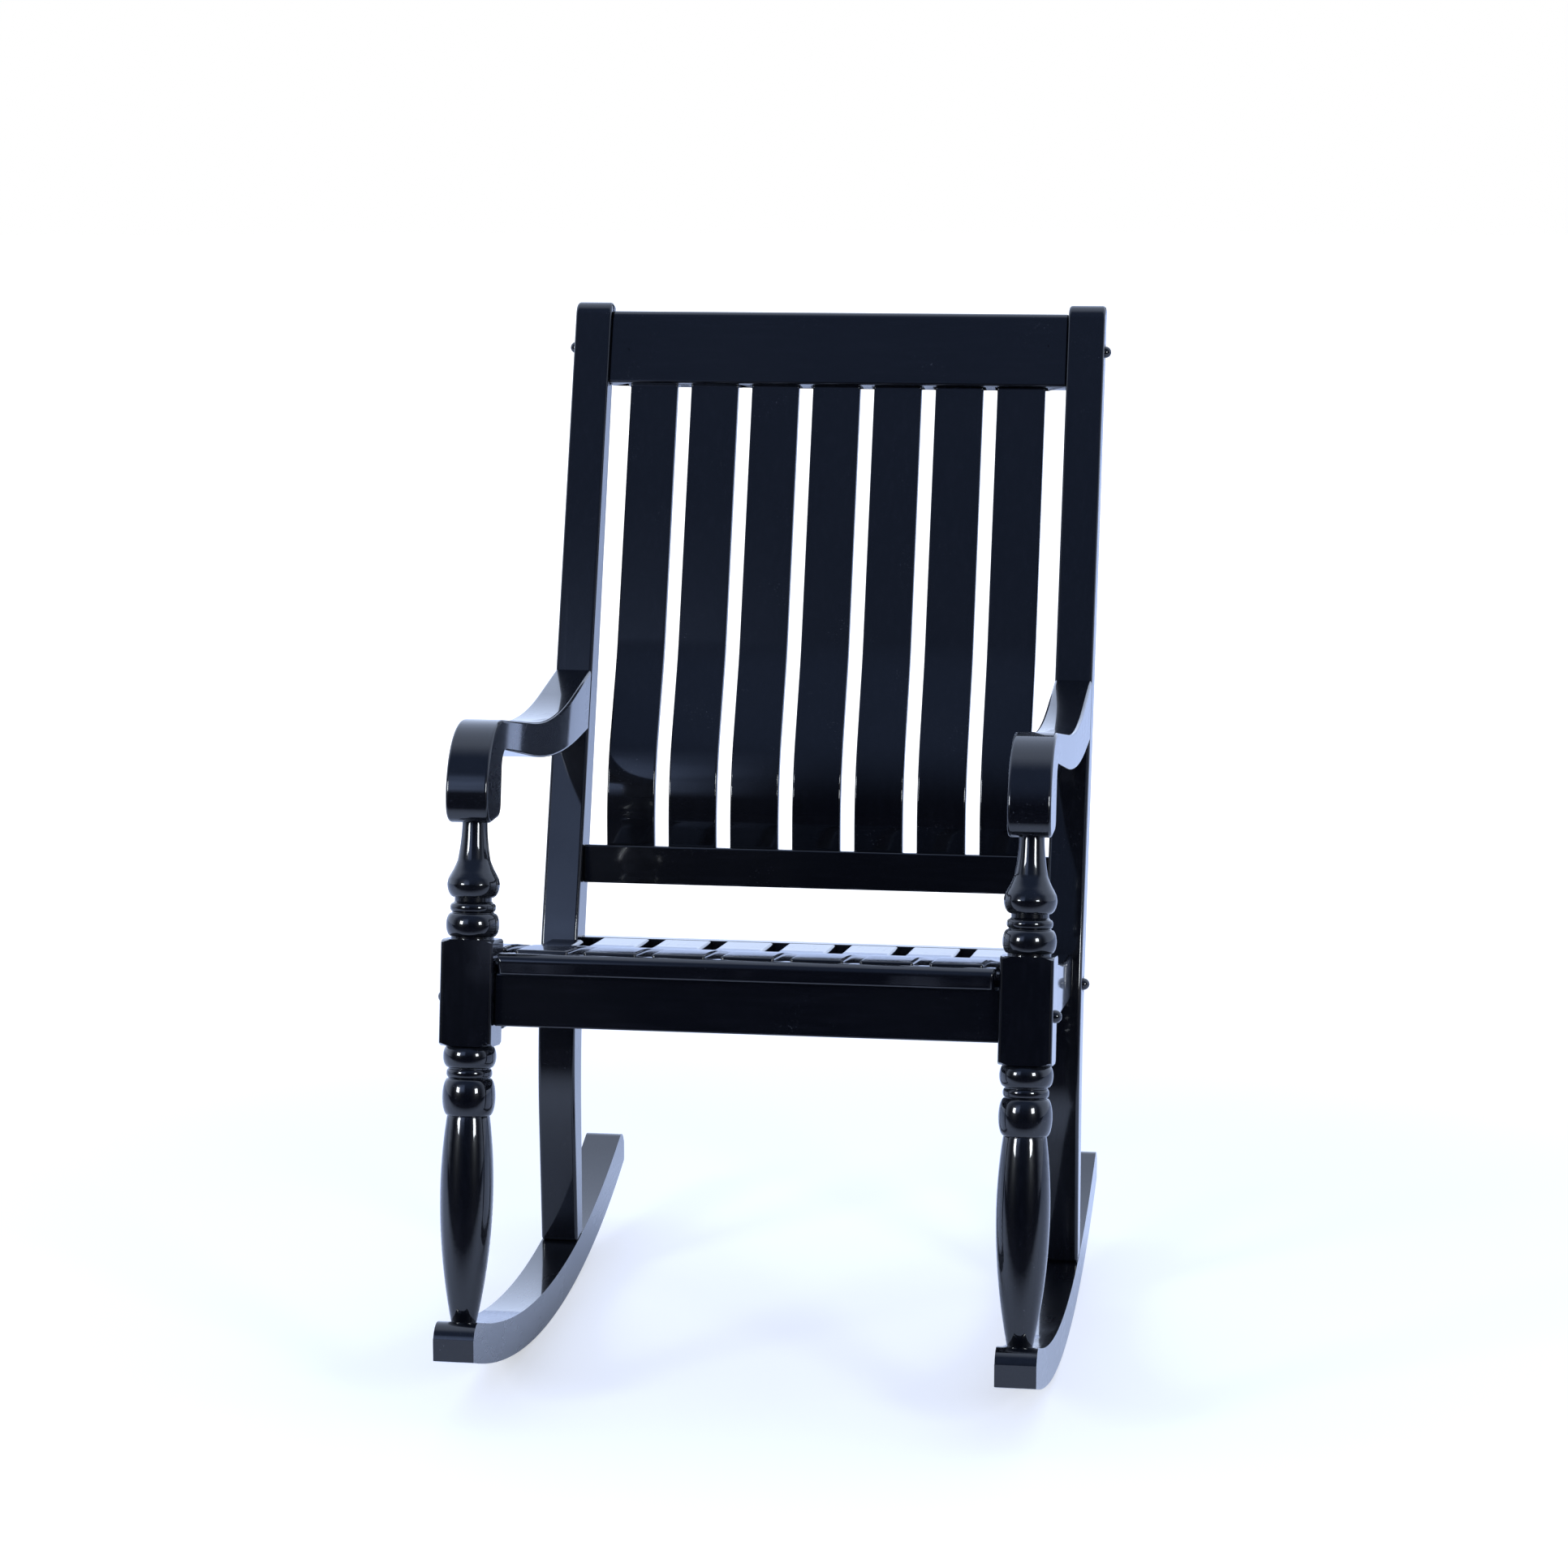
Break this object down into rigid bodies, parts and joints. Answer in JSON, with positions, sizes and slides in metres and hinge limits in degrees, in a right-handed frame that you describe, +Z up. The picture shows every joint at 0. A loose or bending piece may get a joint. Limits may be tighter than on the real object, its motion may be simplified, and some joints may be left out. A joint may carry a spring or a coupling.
{
  "type": "rocking chair",
  "caption": "Black lacquered wooden porch rocking chair with turned front legs, scrolled arms, bent back posts, a slatted back and a slatted scooped seat.",
  "frame": {"origin": "on the floor, midway between the two side frames and straight under the centre of the rocker arcs, which is also the middle of the chair's length", "axes": "+Z up; -Y is the way the sitter faces; +X is to the right of someone looking at the chair's front, which is the sitter's left"},
  "size_m": [0.67, 0.854, 1.153],
  "materials": {
    "black_lacquer": "high gloss black lacquer over wood",
    "bare_steel": "zinc plated",
    "bare_wood": "uncoated"
  },
  "bodies": {
    "root": {"rocker_left": "black_lacquer", "rocker_right": "black_lacquer", "front_leg_left": "black_lacquer", "front_leg_right": "black_lacquer", "rear_post_left": "black_lacquer", "rear_post_right": "black_lacquer", "arm_left": "black_lacquer", "arm_right": "black_lacquer", "crest_rail": "black_lacquer", "lower_back_rail": "black_lacquer", "back_slat_1": "black_lacquer", "back_slat_2": "black_lacquer", "back_slat_3": "black_lacquer", "back_slat_4": "black_lacquer", "back_slat_5": "black_lacquer", "back_slat_6": "black_lacquer", "back_slat_7": "black_lacquer", "front_seat_rail": "black_lacquer", "rear_seat_rail": "black_lacquer", "side_seat_rail_left": "black_lacquer", "side_seat_rail_right": "black_lacquer", "seat_nose_board": "black_lacquer", "seat_slat_1": "black_lacquer", "seat_slat_2": "black_lacquer", "seat_slat_3": "black_lacquer", "seat_slat_4": "black_lacquer", "seat_slat_5": "black_lacquer", "seat_slat_6": "black_lacquer", "seat_slat_7": "black_lacquer", "frame_bolts": "bare_steel", "barrel_nuts": "bare_steel", "bolt_plugs": "black_lacquer", "side_rail_dowels": "bare_wood", "arm_dowels": "bare_wood", "post_foot_dowels": "bare_wood", "lower_rail_dowels": "bare_wood", "seat_slat_pins": "bare_steel", "nose_board_pins": "bare_wood"}
  },
  "joints": []
}
